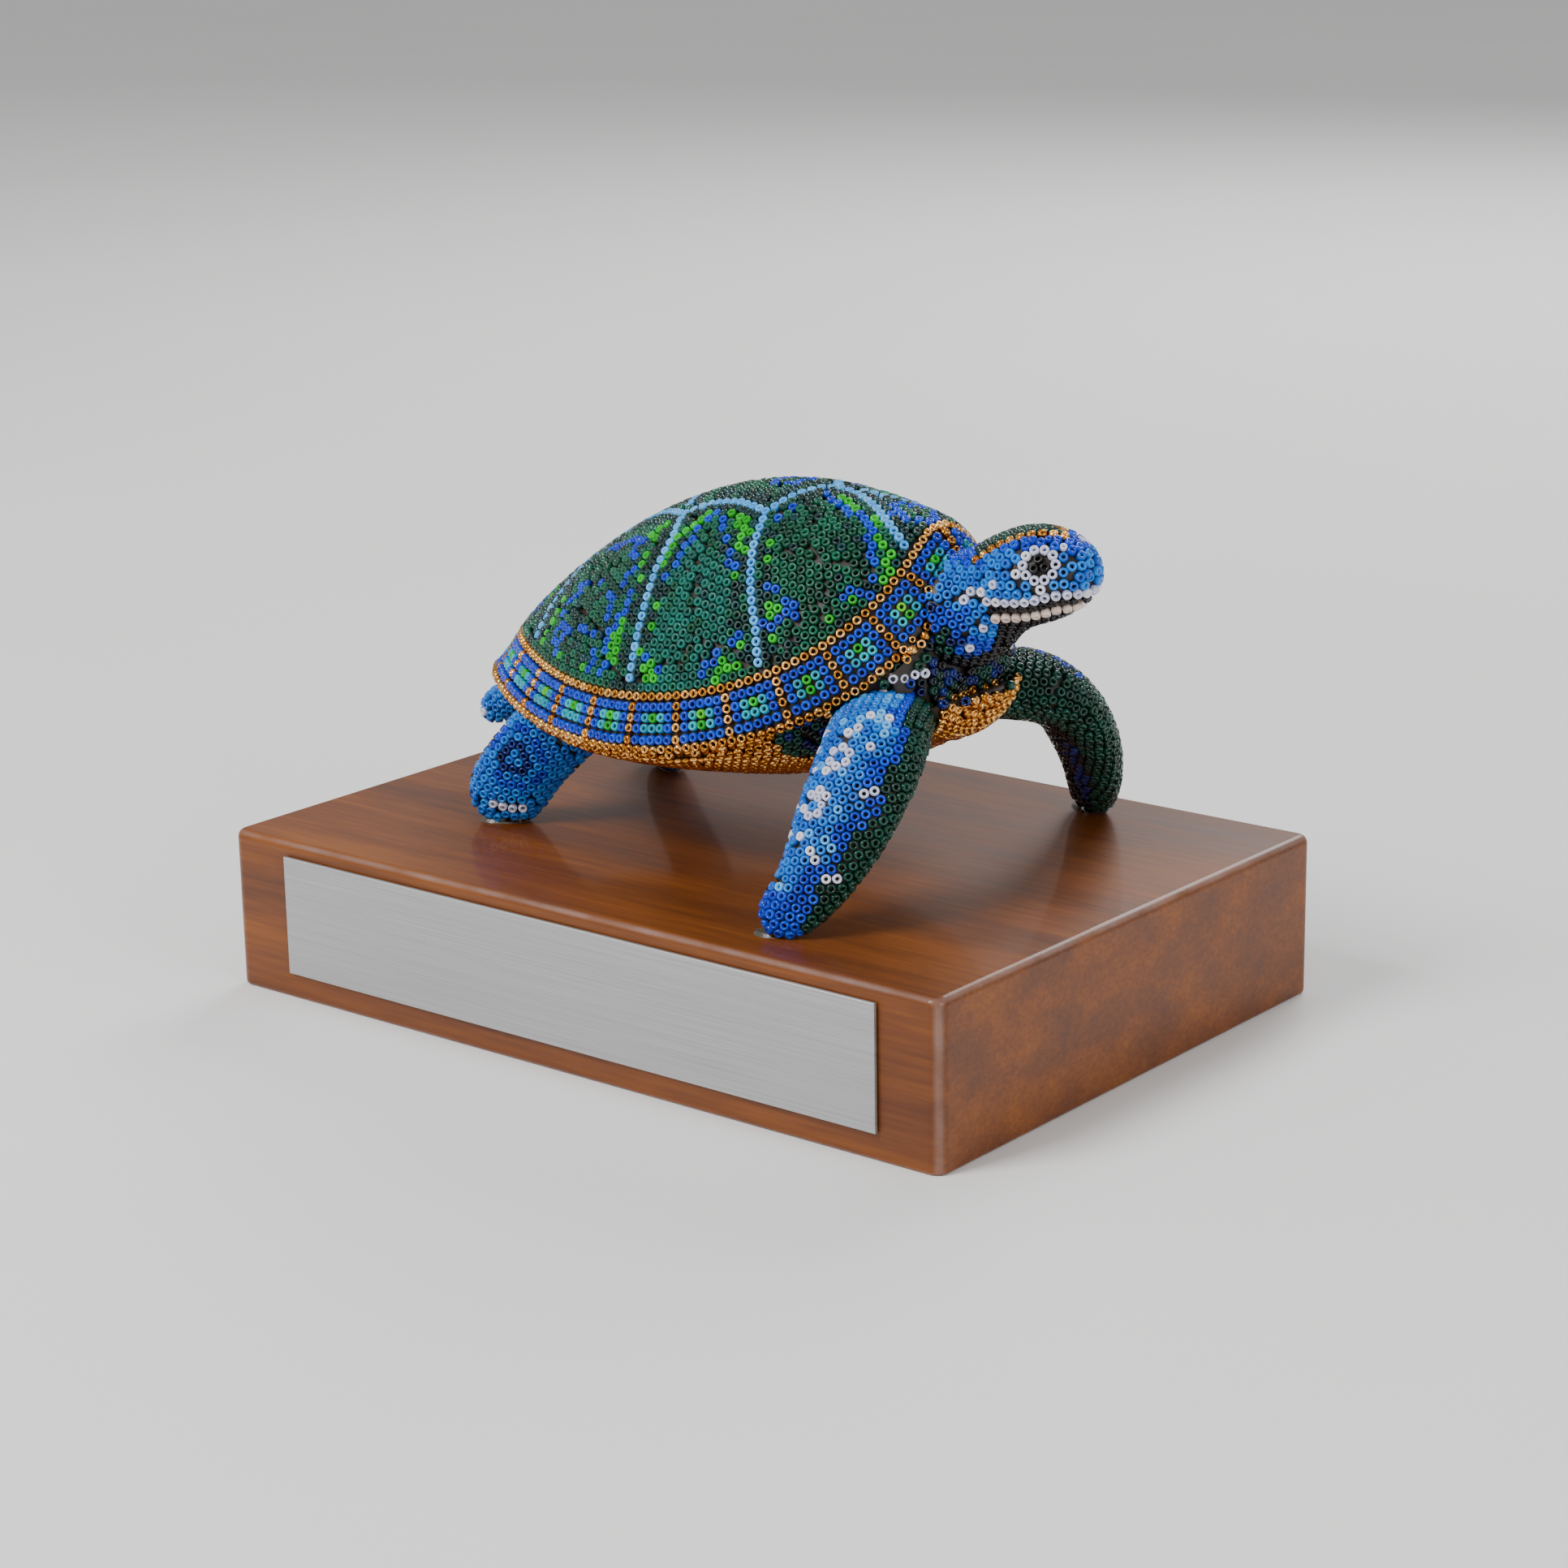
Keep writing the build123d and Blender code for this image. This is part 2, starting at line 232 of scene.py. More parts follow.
# The pale grey of the painted edge highlight.
coloured.inputs[7].default_value = linear(150, 122, 112)
tree.links.new(coloured.outputs[2], shader.inputs["Base Color"])
tree.links.new(spread(tree, bands, 0.42, 0.54), shader.inputs["Roughness"])
shader.inputs["Specular IOR Level"].default_value = 0.3
shader.inputs["Coat Weight"].default_value = 0.25
shader.inputs["Coat Roughness"].default_value = 0.09
relief(tree, shader, pores, 0.12, 0.05)


def finish_node(name, material):
    """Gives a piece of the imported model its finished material."""
    slots = nodes[name].data.materials
    slots.clear()
    slots.append(material)


finish_node("plinth", lacquer)
print("plinth lacquered")

# %% [markdown]
# ## The plate and its tape
# The plate is a sheet of aluminium brushed along its length. Brushing leaves hundreds of fine scratches,
# so the noise is stretched far along X and is very fine in Z, and it drives the roughness and the relief
# more than the colour. The plate is left blank. Black foam tape holds it to the wood.

# %% Brushed plate and foam tape
brushed, tree, shader = new_material("brushed_plate")
scratches = grain(tree, (30, 400, 5000), detail=2.0)
tree.links.new(
    ramp(tree, scratches, (0.25, linear(168, 168, 170)), (0.75, linear(194, 194, 195))),
    shader.inputs["Base Color"],
)
tree.links.new(spread(tree, scratches, 0.42, 0.55), shader.inputs["Roughness"])
shader.inputs["Metallic"].default_value = 0.8
relief(tree, shader, scratches, 0.15, 0.02)
finish_node("plaque", brushed)

foam, tree, shader = new_material("foam_tape")
pits = grain(tree, (900, 900, 900))
tree.links.new(
    ramp(tree, pits, (0.3, linear(18, 18, 19)), (0.7, linear(34, 34, 35))), shader.inputs["Base Color"]
)
shader.inputs["Roughness"].default_value = 0.9
relief(tree, shader, pits, 0.4, 0.1)
finish_node("plaque_tape", foam)
print("plate brushed")

# %% [markdown]
# ## Carved wood, wax and glue
# The carving is pale softwood. The wax over it is beeswax kneaded with a little resin: brown, a bit
# translucent, and lumpy where thumbs have pushed it about. It shows as the dark ground between the beads,
# and its brown is made darker than the wax's own, as painted shade between the beads.
# Under each flipper is a dab of clear glue, which is almost all transmission and gloss.

# %% Hidden wood, wax and glue
softwood, tree, shader = new_material("carved_softwood")
rings = grain(tree, (40, 400, 400))
tree.links.new(
    ramp(tree, rings, (0.3, linear(176, 134, 88)), (0.7, linear(206, 168, 118))), shader.inputs["Base Color"]
)
shader.inputs["Roughness"].default_value = 0.7
relief(tree, shader, rings, 0.2, 0.1)

wax, tree, shader = new_material("beeswax")
thumbed = grain(tree, (260, 260, 260), detail=4.0)
# The wax's brown, made extra dark: partly its own colour, partly painted shade between the beads.
tree.links.new(
    ramp(tree, thumbed, (0.3, linear(26, 20, 15)), (0.7, linear(52, 39, 26))), shader.inputs["Base Color"]
)
tree.links.new(spread(tree, thumbed, 0.4, 0.6), shader.inputs["Roughness"])
relief(tree, shader, thumbed, 0.5, 0.3)

glue, tree, shader = new_material("clear_glue")
ripples = grain(tree, (700, 700, 700))
shader.inputs["Base Color"].default_value = linear(238, 232, 214)
shader.inputs["Transmission Weight"].default_value = 0.9
shader.inputs["IOR"].default_value = 1.48
tree.links.new(spread(tree, ripples, 0.08, 0.25), shader.inputs["Roughness"])
relief(tree, shader, ripples, 0.3, 0.2)

for name in nodes:
    if name.endswith("_dowel") or name.endswith("_core") and name not in ("carapace_core", "belly_core"):
        finish_node(name, softwood)
    elif name.endswith(("_wax", "_core")):
        finish_node(name, wax)
    elif name.endswith("_glue"):
        finish_node(name, glue)
print("wood, wax and glue finished")

# %% [markdown]
# ## One glass bead
# A seed bead is a short piece of glass tube whose ends were rounded in the fire. It starts as a torus of a
# few dozen faces, and is drawn up in edit mode until it is about as high as its wall is round. Thousands of
# copies will follow, so it has no more faces than its outline needs, and smooth shading does the rest.

# %% Model the bead
BEAD_RADIUS = 0.985
BEAD_HEIGHT = 1.5
HOLE_RADIUS = 0.37
wall = (BEAD_RADIUS - HOLE_RADIUS) / 2
bpy.ops.object.select_all(action="DESELECT")
bpy.ops.mesh.primitive_torus_add(
    major_radius=(HOLE_RADIUS + wall) * MM,
    minor_radius=wall * MM,
    major_segments=12,
    minor_segments=6,
)
bead_model = bpy.context.object
bpy.ops.object.mode_set(mode="EDIT")
bpy.ops.mesh.select_all(action="SELECT")
bpy.ops.transform.resize(value=(1, 1, BEAD_HEIGHT / 2 / wall * 1.1))
bpy.ops.mesh.normals_make_consistent(inside=False)
bpy.ops.object.mode_set(mode="OBJECT")
bead_points = np.array([v.co for v in bead_model.data.vertices])
bead_faces = np.array([list(p.vertices) for p in bead_model.data.polygons])
bpy.data.objects.remove(bead_model)
print("one bead:", len(bead_points), "points", len(bead_faces), "faces")

# %% [markdown]
# ## Bead colours
# Glass beads of one colour come from one batch of glass, but never match exactly, so each colour here is a
# small handful of shades and every bead picks one. The dark green of the shell is clear glass, which looks
# deep and oily. Gold beads are glass with a metal coat.

# %% Palette
SHADES = {
    "green": [(0, 74, 50), (0, 88, 62), (0, 60, 44), (0, 98, 70)],
    "smoky": [(0, 52, 50), (6, 64, 66), (0, 44, 38), (14, 48, 50)],
    "teal": [(0, 98, 84), (0, 86, 74), (0, 110, 96)],
    "deep_green": [(0, 58, 42), (0, 68, 54), (0, 48, 38)],
    "blue": [(0, 60, 202), (0, 72, 212), (0, 50, 184)],
    "navy": [(0, 26, 104), (0, 34, 122), (0, 18, 82)],
    "azure": [(0, 114, 212), (0, 98, 200), (4, 128, 224)],
    "sky": [(84, 178, 246), (68, 166, 238), (100, 190, 250)],
    "turquoise": [(0, 164, 184), (0, 146, 172), (10, 180, 196)],
    "lime": [(0, 176, 22), (0, 158, 16), (14, 194, 34)],
    "bright_lime": [(98, 208, 8), (80, 196, 6)],
    "white": [(226, 226, 246), (236, 236, 244), (212, 214, 238)],
    "cream": [(240, 220, 206), (230, 208, 194)],
    "black": [(3, 3, 5), (8, 7, 10)],
    "ink": [(4, 10, 16), (2, 18, 30), (8, 6, 10)],
    "gold": [(222, 160, 78), (198, 134, 54), (238, 182, 102)],
}
CLEAR = ("green", "smoky", "teal", "deep_green")
palette = {}
for colour, shades in SHADES.items():
    palette[colour] = []
    for number, shade in enumerate(shades):
        glass, tree, shader = new_material(f"bead_{colour}_{number + 1}")
        shader.inputs["Base Color"].default_value = linear(*shade)
        shader.inputs["Roughness"].default_value = 0.09 if colour in CLEAR else 0.2
        shader.inputs["IOR"].default_value = 1.52
        shader.inputs["Specular IOR Level"].default_value = 0.35
        if colour == "gold":
            shader.inputs["Metallic"].default_value = 1.0
            shader.inputs["Roughness"].default_value = 0.24
        else:
            shader.inputs["Coat Weight"].default_value = 0.2
            shader.inputs["Coat Roughness"].default_value = 0.06
        palette[colour].append(glass)
print("bead glasses:", sum(len(shades) for shades in palette.values()))

# %% [markdown]
# ## The wax as a bed for beads
# To press a bead into the wax, the script needs the wax's outer face and the direction it looks in. The
# packed wax is a closed skin with an inner face too, so the faces that lie against the wood are dropped.
# What is left goes into a search tree, which finds the nearest point of the bed in no time. All the places
# from here on are in millimetres.

# %% Beds
SEAT = 0.6


def tree_of(*names):
    """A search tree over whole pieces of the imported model."""
    points, faces = [], []
    for name in names:
        mesh = nodes[name].data
        start = len(points)
        points += [v.co / MM for v in mesh.vertices]
        faces += [[start + k for k in p.vertices] for p in mesh.polygons]
    return BVHTree.FromPolygons(points, faces)


def outer_faces(wax_name, core_name, against=0.2):
    """The faces of a skin of wax that don't lie against the wood, as one joined mesh."""
    wood = tree_of(core_name)
    shell = bmesh.new()
    shell.from_mesh(nodes[wax_name].data)
    bmesh.ops.remove_doubles(shell, verts=shell.verts, dist=0.001 * MM)
    inner = [
        face
        for face in shell.faces
        if wood.find_nearest(face.calc_center_median() / MM)[3] < against
    ]
    bmesh.ops.delete(shell, geom=inner, context="FACES")
    return shell


def front_faces(name, beyond):
    """The faces of a piece that look forwards, past a place on X."""
    cap = bmesh.new()
    cap.from_mesh(nodes[name].data)
    others = [f for f in cap.faces if f.normal.x < 0.8 or f.calc_center_median().x / MM < beyond]
    bmesh.ops.delete(cap, geom=others, context="FACES")
    return cap


class Bed:
    """A surface to press beads into."""

    def __init__(self, *patches):
        self.points, self.normals, self.faces = [], [], []
        for patch in patches:
            patch.normal_update()
            patch.verts.index_update()
            start = len(self.points)
            self.points += [v.co / MM for v in patch.verts]
            self.normals += [v.normal.copy() for v in patch.verts]
            self.faces += [[start + v.index for v in face.verts] for face in patch.faces]
            patch.free()
        self.tree = BVHTree.FromPolygons(self.points, self.faces)

    def normal_at(self, place, number):
        """The normal at a place on a face, blended from the face's corners."""
        total = Vector()
        for k in self.faces[number]:
            total += self.normals[k] / ((self.points[k] - place).length + 0.02)
        return total.normalized()

    def seat(self, place):
        """The middle of a bead pressed in nearest to a place, and the way its hole looks."""
        spot, _, number, _ = self.tree.find_nearest(place)
        normal = self.normal_at(spot, number)
        return spot + normal * SEAT, normal


shell_bed = Bed(
    outer_faces("carapace_wax", "carapace_core"),
    outer_faces("belly_wax", "belly_core"),
    front_faces("carapace_core", 49.0),
    front_faces("belly_core", 49.0),
)
LIMBS = ("head", "right_front_flipper", "right_rear_flipper", "tail")
limb_beds = {name: Bed(outer_faces(f"{name}_wax", f"{name}_core")) for name in LIMBS}
print("bed faces:", len(shell_bed.faces), {name: len(bed.faces) for name, bed in limb_beds.items()})

# %% [markdown]
# ## Setting beads
# A maker works outwards from the lines that matter: first a line of beads, then the next bead into the
# notch between two that are there already. The helpers do the same. String walks along a path and sets a
# bead each pitch. Fill takes every pair of neighbours and tries the notch on either side; if the notch is
# on the bed and free, the bead goes in, and its own pairs join the queue. That gives the close, slightly
# uneven packing of hand work, with its seams where two fields meet. Stop gaps then goes over the seams twice:
# once with full beads a little closer together, and once with smaller ones, picked out for the last holes.

# %% Helpers for setting beads
PITCH = 2.0
ROOM = 0.92
LINE_ROOM = 0.86
NEIGHBOURS = 1.35 * PITCH
GAP_PASSES = ((0.9, 1.0), (0.79, 0.8))
GAP_WAYS = 14
GAP_STEP = 0.95 * PITCH
GAP_DRIFT = 0.7 * PITCH
Bead = namedtuple("Bead", "place normal region size")
beads = []
colours = []
cells = {}


def cell_of(place):
    return tuple(int(math.floor(c / PITCH)) for c in place)


def near(place, reach):
    """The numbers of the beads within reach of a place; reach is at most two pitches."""
    x, y, z = cell_of(place)
    span = range(-1, 2) if reach <= PITCH else range(-2, 3)
    for i in span:
        for j in span:
            for k in span:
                for number in cells.get((x + i, y + j, z + k), ()):
                    if (beads[number].place - place).length < reach:
                        yield number


def has_room(place, share=ROOM):
    return next(near(place, share * PITCH), None) is None


def press(place, normal, region, colour=None, size=1.0):
    """Sets one bead and gives its number."""
    number = len(beads)
    beads.append(Bead(place, normal, region, size))
    colours.append(colour)
    cells.setdefault(cell_of(place), []).append(number)
    return number


def string(path, bed, region, colour, pitch=PITCH, sink=0.0, share=LINE_ROOM):
    """Sets a line of beads along a path of places, one pitch apart."""
    last = None
    made = []
    for start, end in zip(path, path[1:]):
        steps = max(int((end - start).length / 0.08), 1)
        for step in range(steps):
            place, normal = bed.seat(start.lerp(end, step / steps))
            place = place - normal * sink
            if last is None or (place - last).length >= pitch:
                last = place
                if has_room(place, share):
                    made.append(press(place, normal, region, colour))
    return made


def fill(bed, seeds, region, allowed):
    """Fills a bed from its seeds outwards, notch by notch."""
    pairs = deque((a, b) for a in seeds for b in near(beads[a].place, NEIGHBOURS) if a != b)
    count = 0
    while pairs:
        a, b = pairs.popleft()
        gap = beads[b].place - beads[a].place
        middle = (beads[a].place + beads[b].place) / 2
        side = (beads[a].normal + beads[b].normal).cross(gap).normalized()
        rise = math.sqrt(max(PITCH**2 - gap.length_squared / 4, 0.1))
        for way in (1, -1):
            place = middle + side * rise * way
            for _ in range(3):
                place, normal = bed.seat(place)
                place = middle + (place - middle).normalized() * rise
            if not allowed(place, normal) or not has_room(place):
                continue
            new = press(place, normal, region)
            count += 1
            pairs.extend((new, other) for other in near(place, NEIGHBOURS) if other != new)
    return count


def stop_gaps(bed, region, allowed):
    """Goes round every bead of a region and sets one more wherever it still fits."""
    count = 0
    for share, size in GAP_PASSES:
        todo = deque(k for k, bead in enumerate(beads) if bead.region == region)
        while todo:
            centre, normal, _, _ = beads[todo.popleft()]
            across = normal.orthogonal().normalized()
            for k in range(GAP_WAYS):
                guess = centre + Quaternion(normal, math.tau * k / GAP_WAYS) @ across * GAP_STEP
                place, way = bed.seat(guess)
                if (place - guess).length < GAP_DRIFT and has_room(place, share) and allowed(place, way):
                    todo.append(press(place, way, region, size=size))
                    count += 1
    return count


# %% [markdown]
# ## The rim
# The rim is a closed band that hangs low on the flanks and rises in an arch over the neck. A gold line
# bounds it above and below, and gold cross lines divide it into plates. Each plate is five beads long and
# four high: a blue border round turquoise and green. The curve is the same formula that shapes the shell,
# and the plates are spaced evenly along it, which takes a table of its length.

# %% The rim's curve
RIM_BAND = 10.4
PLATES = 27
PLATE_BEADS = 6
GOLD_PITCH = 1.97
RIM_ROOM = 0.78


def rim_point(turn):
    """The middle of the band; turn is 0 over the neck and 180 degrees at the tail."""
    t = math.radians(turn)
    tail = ((1 - math.cos(t)) / 2) ** 14
    x = 1.3 + 58.0 * math.cos(t) - 8.4 * math.cos(2 * t) - 3.8 * math.cos(3 * t) - 2.5 * tail
    y = -(33.7 * math.sin(t) - 4.4 * math.sin(2 * t) - 3.3 * math.sin(3 * t))
    z = 75.6 + 13.5 * math.cos(t) + 9.6 * math.cos(2 * t) - 0.5 * math.cos(3 * t) - 7.4 * tail
    return Vector((x, y, z))


def rim_slope(turn):
    """The way down the band, leaning outwards, most at its two ends."""
    run = (rim_point(turn - 0.05) - rim_point(turn + 0.05)).normalized()
    out = Vector((run.y, -run.x, 0)).normalized()
    down = -out.cross(run).normalized()
    lean = math.radians(18 + 15 * math.cos(math.radians(turn)) ** 2)
    return down * math.cos(lean) + out * math.sin(lean)


def rim_edge(turn, along):
    """A place on the band, from -1 on its upper gold line to 1 on its lower one."""
    return rim_point(turn) + rim_slope(turn) * (along * RIM_BAND / 2)


turns = np.linspace(0, 360, 1441)
middles = [rim_point(t) for t in turns]
lengths = np.concatenate([[0], np.cumsum([(b - a).length for a, b in zip(middles, middles[1:])])])
print("rim length", round(lengths[-1], 1), "mm, bead pitch", round(lengths[-1] / PLATES / PLATE_BEADS, 3))


# %% Set the rim's beads
def plate_colour(row, column, plate):
    """The colour of a bead in a plate: rows 0 to 3 from above, columns 1 to 5."""
    if row in (0, 3) or column in (1, 5):
        return "blue"
    if column == 3 and row == 1:
        return "bright_lime" if plate % 4 == 1 else "lime"
    if column == 3 and (plate < 8 or plate > 19) and plate % 2:
        return "lime"
    return "turquoise"


upper_line = [rim_edge(t, -1) for t in turns]
lower_line = [rim_edge(t, 1) for t in turns]
upper_gold = string(upper_line, shell_bed, "rim", "gold", pitch=GOLD_PITCH)
lower_gold = string(lower_line, shell_bed, "rim", "gold", pitch=GOLD_PITCH)
ROWS = (-0.6, -0.2, 0.2, 0.6)
for step in range(PLATES * PLATE_BEADS):
    turn = np.interp(step / (PLATES * PLATE_BEADS) * lengths[-1], lengths, turns)
    plate, column = divmod(step, PLATE_BEADS)
    for row, along in enumerate(ROWS):
        place, normal = shell_bed.seat(rim_edge(turn, along))
        if has_room(place, RIM_ROOM):
            press(place, normal, "rim", "gold" if column == 0 else plate_colour(row, column, plate))
print("rim beads:", len(beads))

# %% [markdown]
# ## Where a bead may go
# The shell's top, its belly and its chest are one bed, cut up by the rim. A place is above the rim if it
# lies uphill of the nearest point of the upper gold line, and on the belly if it lies downhill of the lower
# one or looks down. Limbs grow out of the shell, so no bead is set on the shell where a limb stands.

# %% Fences
LIMB_CLEARANCE = 1.0
FLIPPERS = [f"{side}_{end}_flipper" for end in ("front", "rear") for side in ("right", "left")]
LAYERS = ("core", "wax", "beads")
limb_pieces = [f"{limb}_{layer}" for limb in ("head", *FLIPPERS, "tail") for layer in LAYERS]
limb_tree = tree_of(*limb_pieces)
rim_tree = BVHTree.FromPolygons(
    [p for pair in zip(upper_line, lower_line) for p in pair],
    [[2 * k, 2 * k + 1, 2 * k + 3, 2 * k + 2] for k in range(len(turns) - 1)],
)
slopes = [rim_slope(t) for t in turns]


def rim_height(place):
    """How far a place lies above the middle of the band, measured up the band's slope."""
    _, _, number, _ = rim_tree.find_nearest(place)
    return -(place - middles[number]).dot(slopes[number])


def clear_of_limbs(place):
    return limb_tree.find_nearest(place)[3] > LIMB_CLEARANCE


def on_dome(place, normal):
    return rim_height(place) > RIM_BAND / 2 and clear_of_limbs(place) and normal.x < 0.93


def on_belly(place, normal):
    return (rim_height(place) < -RIM_BAND / 2 or normal.z < -0.5) and clear_of_limbs(place)


def on_rim(place, normal):
    return abs(rim_height(place)) < RIM_BAND / 2 + 1.0 and normal.z > -0.5 and clear_of_limbs(place)


# %% [markdown]
# ## The shell's plates
# Single lines of sky-blue beads mark out the shell's plates: a scalloped line along each side of the ridge,
# and three lines that run down each flank. A place on the dome is given by x and by its lean, the angle
# from straight up to the rim, seen from a point low inside the shell. Every line is drawn on the right
# flank and mirrored.

# %% Lines of sky-blue beads
DOME_AXIS_HEIGHT = 70.0


def dome(x, lean, side=-1):
    """The place on the dome at x, leaning from the ridge by an angle in degrees."""
    angle = math.radians(lean)
    start = Vector((x, 0, DOME_AXIS_HEIGHT))
    spot, _, _, _ = shell_bed.tree.ray_cast(start, Vector((0, side * math.sin(angle), math.cos(angle))))
    return spot


def dome_path(points, side=-1, step=1.0):
    """A path over the dome through points of x and lean."""
    path = []
    for (x0, lean0), (x1, lean1) in zip(points, points[1:]):
        parts = max(int(max(abs(x1 - x0), abs(lean1 - lean0)) / step), 1)
        for k in range(parts):
            share = k / parts
            path.append(dome(x0 + (x1 - x0) * share, lean0 + (lean1 - lean0) * share, side))
    path.append(dome(*points[-1], side))
    return [spot for spot in path if spot is not None]


PLATE_LINES = [
    [(-58, 40), (-48, 30), (-38, 22), (-29, 13), (-20, 12), (-10, 21), (-5, 17), (3, 17), (12, 21),
     (14, 13), (18, 2), (22, 1), (27, 3), (32, 7), (37, 12), (42, 17)],
    [(-10, 21), (-8, 33), (-8, 47), (-7, 66), (-6, 88)],
    [(12, 21), (14, 36), (17, 49), (21, 64), (24, 80)],
    [(-38, 22), (-39, 43), (-41, 60), (-42, 88)],
    [(-10, 21), (-13, 8), (-14, 0)],
    [(-38, 22), (-41, 8), (-41, 0)],
]
plate_seeds = []
for points in PLATE_LINES:
    for side in (-1, 1):
        plate_seeds += string(dome_path(points, side), shell_bed, "dome", "sky")
print("sky-blue beads:", len(plate_seeds))
made = fill(shell_bed, plate_seeds + upper_gold, "dome", on_dome)
made += stop_gaps(shell_bed, "dome", on_dome)
print("dome beads:", made)

# %% [markdown]
# ## The shell's pattern
# The fields between the lines are dark green, with small figures in blue and lime: a stepped triangle, an
# arrowhead, a column and rings round green discs. A maker counts beads; here each figure is a path or an
# outline on the dome, and a bead takes the figure's colour when it lies within about half a bead of it.

# %% Figures on the dome
HALF_BEAD = 0.92
DISC_RADIUS = 2.9
RING_RADIUS = 4.9
LINE_SHADE = 4.0
BLUE_PATHS = [
    [(15, 24), (16, 18)],
    [(20, 8), (25, 11), (31, 14), (34, 17), (37, 22), (39, 29), (39, 33)],
    [(21, 49), (25, 50), (28, 54), (24, 60), (22, 60)],
    [(36, 43), (38, 40), (40, 40)],
    [(0, 22), (-2, 31), (-3, 40), (-4, 49)],
    [(0, 22), (4, 29), (8, 36), (11, 43)],
    [(-3, 80), (-1, 80), (2, 84)],
    [(18, 66), (15, 72), (13, 78), (12, 84)],
    [(-12, 59), (-13, 67), (-15, 74), (-14, 84), (-15, 88)],
    [(-16, 33), (-19, 30), (-24, 31), (-29, 31)],
    [(-19, 36), (-15, 45), (-16, 53)],
    [(-24, 53), (-31, 54)],
    [(-20, 56), (-17, 62), (-17, 69)],
    [(-31, 58), (-34, 66), (-34, 72)],
    [(-19, 76), (-24, 75), (-31, 77)],
    [(-18, 78), (-18, 88)],
    [(-33, 77), (-34, 85)],
    [(-31, 81), (-31, 86)],
    [(-47, 42), (-49, 60), (-50, 74)],
]
LIME_PATHS = [
    [(24, 6), (27, 9), (32, 12), (36, 16), (40, 22), (42, 27), (41, 31)],
    [(22, 53), (25, 54), (23, 57)],
    [(-3, 23), (-5, 29), (-6, 37), (-6, 44)],
    [(2, 21), (6, 25), (10, 31), (12, 38)],
    [(4, 22), (8, 26), (11, 31)],
    [(-3, 84), (-1, 83), (0, 86), (-2, 86)],
    [(18, 70), (16, 76), (15, 82), (19, 78)],
    [(-12, 69), (-11, 76), (-11, 83), (-10, 88)],
    [(-13, 75), (-12, 88)],
    [(-13, 26), (-15, 27), (-15, 30), (-13, 35)],
    [(-37, 62), (-37, 74), (-38, 86)],
    [(-45, 46), (-46, 62)],
]
LIME_DOTS = [
    (17, 32), (18, 37), (20, 41), (21, 46), (38, 44), (33, 55), (35, 53), (13, 47), (15, 52), (16, 58),
    (9, 84), (-13, 40), (-13, 45), (-12, 51), (-12, 56), (-4, 52), (-4, 62), (-4, 68), (-4, 78), (25, 66),
    (-29, 87), (-25, 88), (-20, 88),
]
RINGS = [(8, 0), (-26, 0), (38, 0)]
blue_places = [spot for points in BLUE_PATHS for spot in dome_path(points)]
lime_places = [spot for points in LIME_PATHS for spot in dome_path(points)]
lime_dots = [dome(*point) for point in LIME_DOTS]
ring_places = [dome(*point) for point in RINGS]


def gap_to(place, spots):
    """The distance from a bead's middle to the nearest of the spots on the wax."""
    return min((place - spot).length for spot in spots)


def on_right(place):
    """The same place on the right flank."""
    return Vector((place.x, -abs(place.y), place.z))


sky_places = [on_right(beads[k].place) for k in plate_seeds if beads[k].place.y < 0.5]


def level(distance):
    """A bead's middle is a seat's height above the wax, so a distance is taken along the wax."""
    return math.sqrt(max(distance**2 - SEAT**2, 0.0))


def dome_colour(place):
    place = on_right(place)
    if level(gap_to(place, lime_dots)) < HALF_BEAD:
        return "lime"
    to_ring = level(gap_to(place, ring_places))
    if DISC_RADIUS < to_ring < RING_RADIUS:
        return "blue"
    if to_ring > RING_RADIUS:
        if level(gap_to(place, blue_places)) < HALF_BEAD:
            return "blue"
        if level(gap_to(place, lime_places)) < HALF_BEAD:
            return "lime"
    if gap_to(place, sky_places) < LINE_SHADE and random.random() < 0.7:
        return "smoky"
    if -5 < place.x < 15 and place.z < 96 and random.random() < 0.75:
        return "teal"
    return "smoky" if random.random() < 0.15 else "green"


for number, bead in enumerate(beads):
    if bead.region == "dome" and colours[number] is None:
        colours[number] = dome_colour(bead.place)
print("dome coloured")

# %% [markdown]
# ## The belly and the chest
# Below the rim the belly is plain gold, up to a lip under the throat, with a patch of dark beads round each
# armpit that is painted shade. The space between the lip, the neck and the rim is dark: green, black and some
# blue. It is filled from the rim's lower gold line down.

# %% Belly and chest
SHOULDER_LINE = [(47.0, -22.0, 76.1), (48.7, -16.6, 76.0), (50.0, -13.3, 76.6), (50.0, -7.0, 76.4)]
for side in (1, -1):
    path = [Vector((x, y * side, z)) for x, y, z in SHOULDER_LINE]
    string([spot for spot in path if clear_of_limbs(spot)], shell_bed, "belly", "white")
made = fill(shell_bed, lower_gold, "belly", on_belly)
made += stop_gaps(shell_bed, "belly", on_belly)
made += stop_gaps(shell_bed, "rim", on_rim)
ARMPIT = Vector((33, -27, 64))
ARMPIT_RADIUS = 6.0
CHEST_X = 45.0
THROAT_LIP_HEIGHT = 70.4


def belly_colour(place):
    # Round the armpit, where the flipper meets the shell, the dark beads are painted shade; on the chest they
    # are the dark field of the pattern.
    on_chest = place.x > CHEST_X and place.z > THROAT_LIP_HEIGHT
    if on_chest or (on_right(place) - ARMPIT).length < ARMPIT_RADIUS:
        return random.choice(["deep_green", "ink", "deep_green", "navy"])
    return "gold"


for number, bead in enumerate(beads):
    if bead.region == "belly" and colours[number] is None:
        colours[number] = belly_colour(bead.place)
    elif bead.region == "rim" and colours[number] is None:
        colours[number] = "gold" if rim_height(bead.place) < -0.35 * RIM_BAND else "blue"
print("belly beads:", made)

